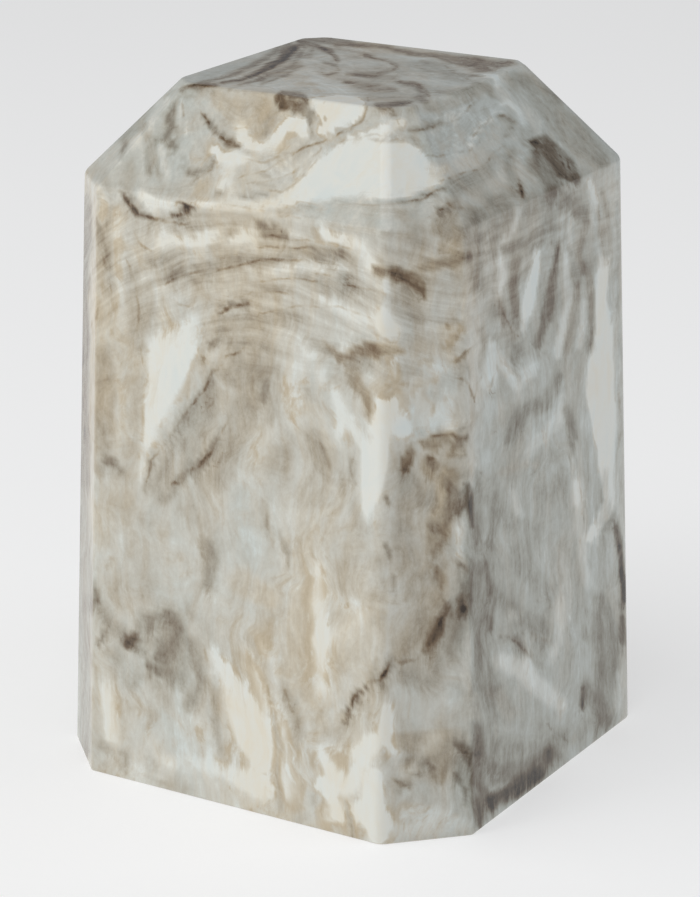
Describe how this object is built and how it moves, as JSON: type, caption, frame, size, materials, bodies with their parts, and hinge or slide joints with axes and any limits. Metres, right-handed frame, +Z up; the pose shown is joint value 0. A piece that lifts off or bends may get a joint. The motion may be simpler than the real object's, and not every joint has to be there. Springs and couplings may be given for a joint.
{
  "type": "cremation urn",
  "caption": "Cremation urn cast in swirled cultured marble: tall tapered block with cut corners, low faceted crown, flat top, hollow, with a stoppered filling opening underneath.",
  "frame": {"origin": "middle of the underside, in the plane that the urn stands on", "axes": "+Z up, along the urn's upright axis of symmetry; the front face looks along -Y and the face to its right along +X"},
  "size_m": [0.172, 0.172, 0.254],
  "materials": {
    "marble": "polished",
    "rubber": "matte"
  },
  "bodies": {
    "root": {"urn_body": "marble", "stopper": "rubber"}
  },
  "joints": []
}
